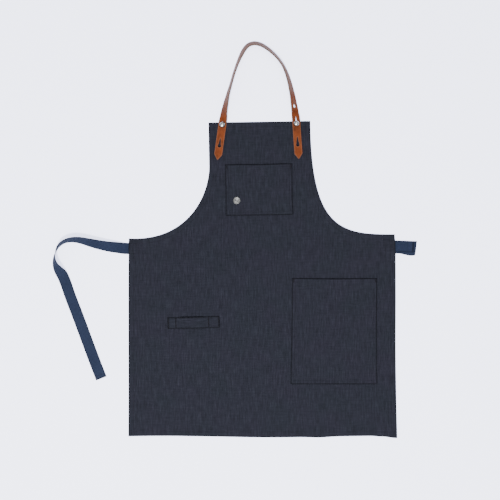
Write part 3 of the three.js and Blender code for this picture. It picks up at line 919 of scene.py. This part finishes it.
class Ribbon:
    """A strip that follows stations [x, y, roll, base]: rolled about its length, low edge at base."""

    def __init__(self, stations, width, thick):
        stations = np.asarray(stations, float)
        x, y = through(stations[:, :2], 0.8).T
        middle = np.linspace(0, arc(stations[:, :2])[-1], len(x))
        roll, base = (eased(middle, arc(stations[:, :2]), stations[:, k]) for k in (2, 3))
        roll = np.radians(roll)
        z = base + np.sin(roll) * width / 2 + np.abs(np.cos(roll)) * thick / 2
        self.line = np.column_stack([x, y, z])
        self.along = arc(self.line)
        self.length = self.along[-1]
        ahead = unit(np.gradient(self.line, axis=0))
        side = unit(np.cross((0.0, 0.0, 1.0), ahead))
        up = np.cross(ahead, side)
        c, s = np.cos(roll)[:, None], np.sin(roll)[:, None]
        self.across = side * c - up * s
        self.face = side * s + up * c

    def at(self, values, s):
        return np.column_stack([np.interp(s, self.along, values[:, k]) for k in range(3)])

    def place(self, points, heights):
        s, w = points.T
        return self.at(self.line, s) + self.at(self.across, s) * w[:, None] + (
            self.at(self.face, s) * np.asarray(heights)[:, None])

    def threads(self, name, lines, height):
        """Stitches on the strip's face along lines of (s, w)."""
        level = lambda points: np.full(len(points), height)
        seams = [seam(line, level, 3.0) for line in lines]
        ups = self.at(self.face, joined(seams)[0][:, 0])
        return thread_piece(name, *placed(seams, self.place), ups, 2.4)


def strap_stations():
    """The strap from its left tip round the neck loop to its right tip: flat where it is buttoned down,
    rolled onto its outer edge above the bib."""
    low = STRAP_BASE
    lean = {-1: math.radians(8), 1: math.radians(-4)}

    def on_tab(side, along, roll=0.0, base=low):
        x, y = stud_at(side)
        return [x + along * math.sin(lean[side]), y + along * math.cos(lean[side]), roll, base]

    left = [on_tab(-1, -TIP), on_tab(-1, -50), on_tab(-1, -20), on_tab(-1, 0), on_tab(-1, 7, 3, 4.0)]
    right = [on_tab(1, 6, 3, 4.0), on_tab(1, 0), on_tab(1, -20), on_tab(1, -50), on_tab(1, -TIP)]
    loop = [
        (-90.6, 302, 22, 3.3), (-89.4, 313.5, 40, 1.3), (-87, 327.5, 50, 0.2), (-84, 341.5, 58, 0),
        (-80.8, 355.5, 68, 0), (-72.8, 383.5, 75, 0), (-64.6, 411.5, 75, 0), (-54.1, 439.5, 70, 0),
        (-47.6, 453.5, 63, 0), (-39.2, 467.4, 60, 0), (-32.8, 473.8, 58, 0), (-19.2, 478.4, 57, 0),
        (-5, 476, 59, 0), (9, 468.4, 63, 0), (23, 457.5, 67, 0), (39.5, 440, 71, 0),
        (49.4, 425.5, 71, 0), (55.9, 411.5, 68, 0), (64.8, 383.5, 61, 0), (68, 369.5, 57, 0),
        (71, 355.6, 52, 0), (73.2, 341.6, 46, 0.2), (75.5, 327.6, 38, 0.9), (77.2, 313.6, 27, 2.3),
        (78.7, 303.6, 12, 3.6),
    ]
    return left + loop + right


def keyhole(s, towards, root, slit_end):
    """A round hole at s with a slit that narrows from its root, as a closed loop."""
    end = 0.35
    opening = math.asin(root / KEY_RADIUS)
    turns = np.linspace(opening, 2 * math.pi - opening, 26)
    ring = np.column_stack([np.cos(turns), np.sin(turns)]) * KEY_RADIUS
    reach = np.linspace(KEY_RADIUS + 0.9, slit_end, 6)
    half = np.interp(reach, (KEY_RADIUS, slit_end), (root, end))
    slit = np.vstack([np.column_stack([reach, -half]), np.column_stack([reach, half])[::-1]])
    return np.vstack([ring, slit]) * (towards, 1) + (s, 0)


def neck_strap():
    ribbon = Ribbon(strap_stations(), STRAP_WIDTH, STRAP_THICK)
    length, half = ribbon.length, STRAP_WIDTH / 2
    tip = np.vstack([bezier([(15, -half), (13.2, -half), (12.2, -half + 0.3), (11, -half + 1.3)], 5),
                     [(6, -4.9)], bezier([(1.6, -1.6), (0.5, -0.8), (0, -0.5), (0, 0)], 5)])
    start = np.vstack([tip, (tip * (1, -1))[::-1][1:]])
    end = (length, 0) + start[::-1] * (-1, 1)
    loop = np.vstack([
        evenly([start[-1], end[0]], 2.5), evenly(end, 1.2), evenly([end[-1], start[0]], 2.5),
        evenly(start, 1.2)])
    holes = [keyhole(*hole) for hole in (
        (TIP, 1, 0.5, 8), (TIP - KEY_PITCH, 1, 2.3, 17.5), (length - TIP, -1, 1.9, 17),
        (length - TIP + KEY_PITCH, -1, 3.0, 19), (length - TIP - KEY_PITCH + 8, -1, 1.5, 17.5))]
    pattern = Pattern([loop[::-1]] + holes, (0.07, 0.35, 0.9, 1.6, 2.0, 2.4, 3.4),
                      hexes((0, -half), (length, half), 2.6))
    edge = pattern.edge
    around = np.where(edge < 0.05, 0, 0.74 + 0.26 * np.sqrt(1 - (1 - np.clip(edge / 0.9, 0, 1)) ** 2))
    crease = 0.2 * np.exp(-((edge - 2.0) / 0.35) ** 2)
    t = STRAP_THICK / 2
    soft = 0.05 * np.sin(pattern.points[:, 0] / 23) * np.sin(pattern.points[:, 1] / 5)
    obj = flat_piece("neck_strap", pattern, (t - crease + soft) * around, -t * around, ribbon.place,
                     "leather")
    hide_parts("left_strap_end", "right_strap_end", "strap_loop")
    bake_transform(obj)


def tape_skins(pattern, length, hem_from, cupped):
    """A woven tape: thin at its selvedges, a little cupped, doubled where its end is turned under."""
    s, w = pattern.points.T
    doubled = smooth((s - hem_from) / 2)
    half = TAPE_THICK / 2
    ribs = 0.035 * np.sin(2 * np.pi * s / 3.1)
    around = np.sqrt(1 - (1 - np.clip(pattern.edge / 0.7, 0, 1)) ** 2)
    cup = cupped * 0.35 * (w / (TAPE_WIDTH / 2)) ** 2 * smooth(s / 60) * smooth((length - s) / 60)
    return (half + ribs + cup) * around + 0.35 * doubled, (cup - half) * around - 0.35 * doubled


def tape(name, ribbon, hem_from=1e6, fold=None):
    """A tape along a ribbon, with finer rows of points over the span of a fold."""
    half, length = TAPE_HALF, ribbon.length
    loop = closed([(0, -half), (length, -half), (length, half), (0, half)], 2.4)
    field = hexes((0, -half), (length, half), 2.8)
    if fold:
        rows = [(s, w) for s in np.arange(*fold, 0.4) for w in np.linspace(-half + 3.4, half - 3.4, 13)]
        field = np.vstack([field[(field[:, 0] < fold[0] - 1) | (field[:, 0] > fold[1] + 1)], rows])
    pattern = Pattern([loop], (0.2, 0.6, 1.4, 2.6), field)
    skins = tape_skins(pattern, length, hem_from, cupped=fold is None)
    return flat_piece(name, pattern, *skins, ribbon.place, "tape")


def left_tie():
    places = [  # out from the body's edge, up, roll in degrees
        (-23.5, 0, 0), (-8, 0, 0), (1, 0, 0), (9, 0.2, 0), (24, 2, 11), (43, 4.2, 23), (66.5, 8.5, 33),
        (89.8, 14, 43), (113.2, 19.5, 55), (133, 20.3, 66), (150, 15.5, 76), (162, 5.5, 84),
        (168, -7, 97), (171.5, -21, 108), (169.5, -36, 124), (162.3, -50, 152), (154.6, -62, 178),
        (148.4, -76, 180), (137.7, -106.5, 180), (114.6, -167.3, 180), (97.4, -214, 180),
        (79.9, -260.9, 180), (69.1, -289, 180), (63.2, -304, 180)]
    ribbon = Ribbon([(LEFT_EDGE - out, y, roll, 0.0) for out, y, roll in places], TAPE_WIDTH, TAPE_THICK)
    length = ribbon.length
    obj = tape("waist_tie_left", ribbon, hem_from=length - 11)
    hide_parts("left_tie", "left_tie_end")
    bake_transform(obj)
    lines = [[(length - d, -10.5), (length - d, 10.5)] for d in (2.5, 9.0)]
    rows = ribbon.threads("tie_hem_stitching", lines, -TAPE_THICK / 2 - 0.45)
    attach(rows, "left_tie_free")


def right_tie():
    top = 2 * TAPE_SEAT - TAPE_THICK / 2 - GAP
    places = ((RIGHT_EDGE - TAPE_SEWN + 0.5, 0), (RIGHT_EDGE, 0), (330, -0.6),
              (SPLIT + FOLD_OUT, -RIGHT_TIE_DROP))
    stub = Ribbon([(x, RIGHT_TIE_Y + y, 0, TAPE_SEAT) for x, y in places], TAPE_WIDTH, TAPE_THICK)
    obj = tape("waist_tie_right", stub)
    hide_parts("right_tie", "right_tie_end")
    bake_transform(obj)
    rows = stub.threads("tie_fold_stitching", [[(stub.length - d, -11), (stub.length - d, 11)]
                                               for d in (1.2, 13.5)], TAPE_THICK / 2 + 0.05)
    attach(rows, "right_tie_stub")

    folded = FoldedTape(top)
    back = tape("waist_tie_right_return", folded, fold=(5, 12))
    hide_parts("right_tie_return")
    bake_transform(back)


class FoldedTape:
    """The right tie past its stub: over the fold and back underneath, a little askew."""

    def __init__(self, top):
        bend, low, lead = 0.75, TAPE_THICK / 2, FOLD_X - 1.1
        turn = [(math.sin(a), math.cos(a)) for a in np.linspace(0, math.pi, 15)]
        line = [(SPLIT + k * (lead - SPLIT) / 6, top) for k in range(7)]
        line += [(lead + bend * x, low + bend + (top - low) / 2 * (z + 1) - bend) for x, z in turn[1:]]
        back = np.linspace(0, RETURN_RUN, 120)
        line += [(lead - x, low) for x in back[1:]]
        self.profile = np.array(line)
        self.along = arc(self.profile)
        self.length = self.along[-1]
        ahead = unit(np.gradient(self.profile, axis=0))
        self.normal = np.column_stack([-ahead[:, 1], ahead[:, 0]])
        self.under = smooth((self.along - (lead - SPLIT) - 1) / 2)

    def place(self, points, heights):
        s, w = points.T
        x, z, nx, nz, under = (np.interp(s, self.along, v) for v in (
            *self.profile.T, *self.normal.T, self.under))
        x, z = x + nx * heights, z + nz * heights
        slant = math.radians(RETURN_SLOPE) * under
        out = FOLD_X - x
        skew = 0.12 * w * (smooth((s - 1.5) / 5) - under)
        droop = under * (-7.0 + 9.2 * smooth((SPLIT - x) / 40) - 2.2 * smooth((300 - x) / 130))
        y = RIGHT_TIE_Y - RIGHT_TIE_DROP + droop - out * np.sin(slant) + w * np.cos(slant)
        return np.column_stack([FOLD_X + FOLD_OUT - out * np.cos(slant) + skew, y, z])


neck_strap()
left_tie()
right_tie()

# ---- metal


def turned(name, profile, centre, slot, segments=72):
    """A turned piece: a closed profile of (radius, height) spun about the vertical."""
    profile = np.array(profile, float)
    turns = np.arange(segments) * 2 * math.pi / segments
    inner = profile[1:-1]
    ring = np.array([(r * math.cos(a), r * math.sin(a), z) for r, z in inner for a in turns])
    verts = np.vstack([[(0, 0, profile[0, 1])], ring, [(0, 0, profile[-1, 1])]]) + (*centre, 0)
    last = len(verts) - 1
    faces = []
    for k in range(segments):
        j = (k + 1) % segments
        faces.append((0, 1 + j, 1 + k))
        for i in range(len(inner) - 1):
            a, b = 1 + i * segments, 1 + (i + 1) * segments
            faces.append((a + k, a + j, b + j, b + k))
        faces.append((last, last - segments + k, last - segments + j))
    return finish_piece(name, mesh_of(name, verts, faces), slot)


def hardware(side, word):
    x, y = stud_at(side)
    under = STRAP_BASE + STRAP_THICK + GAP
    radius, height = 6.5, 8.4
    middle = under + height * 0.47
    dome = [(radius * math.cos(a), middle + (under + height - middle) * math.sin(a))
            for a in np.radians(np.arange(0, 90, 7.5))]
    belly = [(radius * (0.74 + 0.26 * math.sin(t)), under + (middle - under) * (1 - math.cos(t)))
             for t in np.radians(np.arange(8, 90, 11))]
    stud = turned(f"{word}_ball_stud", [
        (0, 6.3), (1.5, 6.3), (1.5, 1.35), (2.05, 1.35), (2.2, 1.5), (2.2, under - 0.3), (2.6, under),
        (4.4, under + 0.02), *belly, *dome, (0, under + height)], (x, y), "nickel")
    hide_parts(f"{word}_stud")
    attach(stud, "bib")
    screw = turned(f"{word}_screw", [
        (0, 0.45), (0.9, 0.45), (1.1, 0.05), (3.9, 0), (4.6, 0.12), (5, 0.45), (5, 0.9), (4.9, 1.0),
        (1.3, 1.0), (1.2, 1.15), (1.2, 6.0), (0, 6.0)], (x, y), "nickel")
    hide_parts(f"{word}_stud_screw")
    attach(screw, "bib")


def badge_piece():
    x = bib_pocket.x - bib_pocket.width / 2 + 26.6
    y = bib_pocket.y - bib_pocket.height / 2 + 35.4
    local = np.array([(x - bib_pocket.x + 8.5 * math.cos(a), y - bib_pocket.y + 8.5 * math.sin(a))
                      for a in np.linspace(0, 2 * math.pi, 12)])
    face = float(bib_pocket.skins(local)[0].max()) - 0.1
    profile = [(0, -1.3), (3.0, -1.3), (3.0, -1.0), (1.5, -1.0), (1.5, 0), (8.1, 0), (8.5, 0.35),
               (8.45, 0.8), (8.1, 1.15), (7.6, 1.25), (7.1, 1.1), (6.8, 0.8), (6.4, 0.75), (6.1, 0.95),
               (5.8, 0.75), (3.4, 0.78), (3.1, 1.0), (2.8, 0.8), (1.2, 0.85), (0, 0.95)]
    obj = turned("badge_disc", [(r, z + face) for r, z in profile], lay((x, y)), "badge_metal", 96)
    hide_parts("badge")
    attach(obj, "bib")


hardware(-1, "left")
hardware(1, "right")
badge_piece()

# ---- floor, light and camera


def floor():
    mesh = bpy.data.meshes.new("floor")
    mesh.from_pydata([(-40, -40, 0), (40, -40, 0), (40, 40, 0), (-40, 40, 0)], [], [(0, 1, 2, 3)])
    obj = in_scene("floor", mesh)
    obj.location.z = -0.0004
    look = Look("pale_floor")
    grain = look.noise(look.space(), 3.0, 2.0)
    mesh.materials.append(look.finish({
        "Base Color": look.ramp(grain, (0.3, (0.82, 0.83, 0.885)), (0.7, (0.835, 0.845, 0.9))),
        "Roughness": 0.85, "Specular IOR Level": 0.1,
        "Emission Color": (0.66, 0.7, 1.0), "Emission Strength": 2.35}))


def lamp(name, place, aim, size, power):
    data = bpy.data.lights.new(name, "AREA")
    data.shape, data.size, data.energy = "DISK", size, power
    obj = in_scene(name, data)
    obj.location = place
    obj.rotation_euler = (Vector(aim) - Vector(place)).to_track_quat("-Z", "Y").to_euler()


def studio():
    world = bpy.data.worlds.new("studio")
    world.use_nodes = True
    background = world.node_tree.nodes["Background"]
    background.inputs["Color"].default_value = (0.97, 0.985, 1.0, 1)
    background.inputs["Strength"].default_value = 0.85
    bpy.context.scene.world = world
    lamp("key", (-0.5, -1.35, 3.15), (-0.03, 0.05, 0), 0.5, 228)
    lamp("top", (0.15, 0.9, 3.5), (-0.03, 0.15, 0), 2.4, 72)


def camera():
    distance, across = 2.5, 1.17  # metres up, and metres seen from side to side
    data = bpy.data.cameras.new("camera")
    data.sensor_width = 36
    data.lens = 36 * distance / across
    obj = in_scene("camera", data)
    obj.location = (-0.0284, -0.0035, distance)
    bpy.context.scene.camera = obj


floor()
studio()
camera()
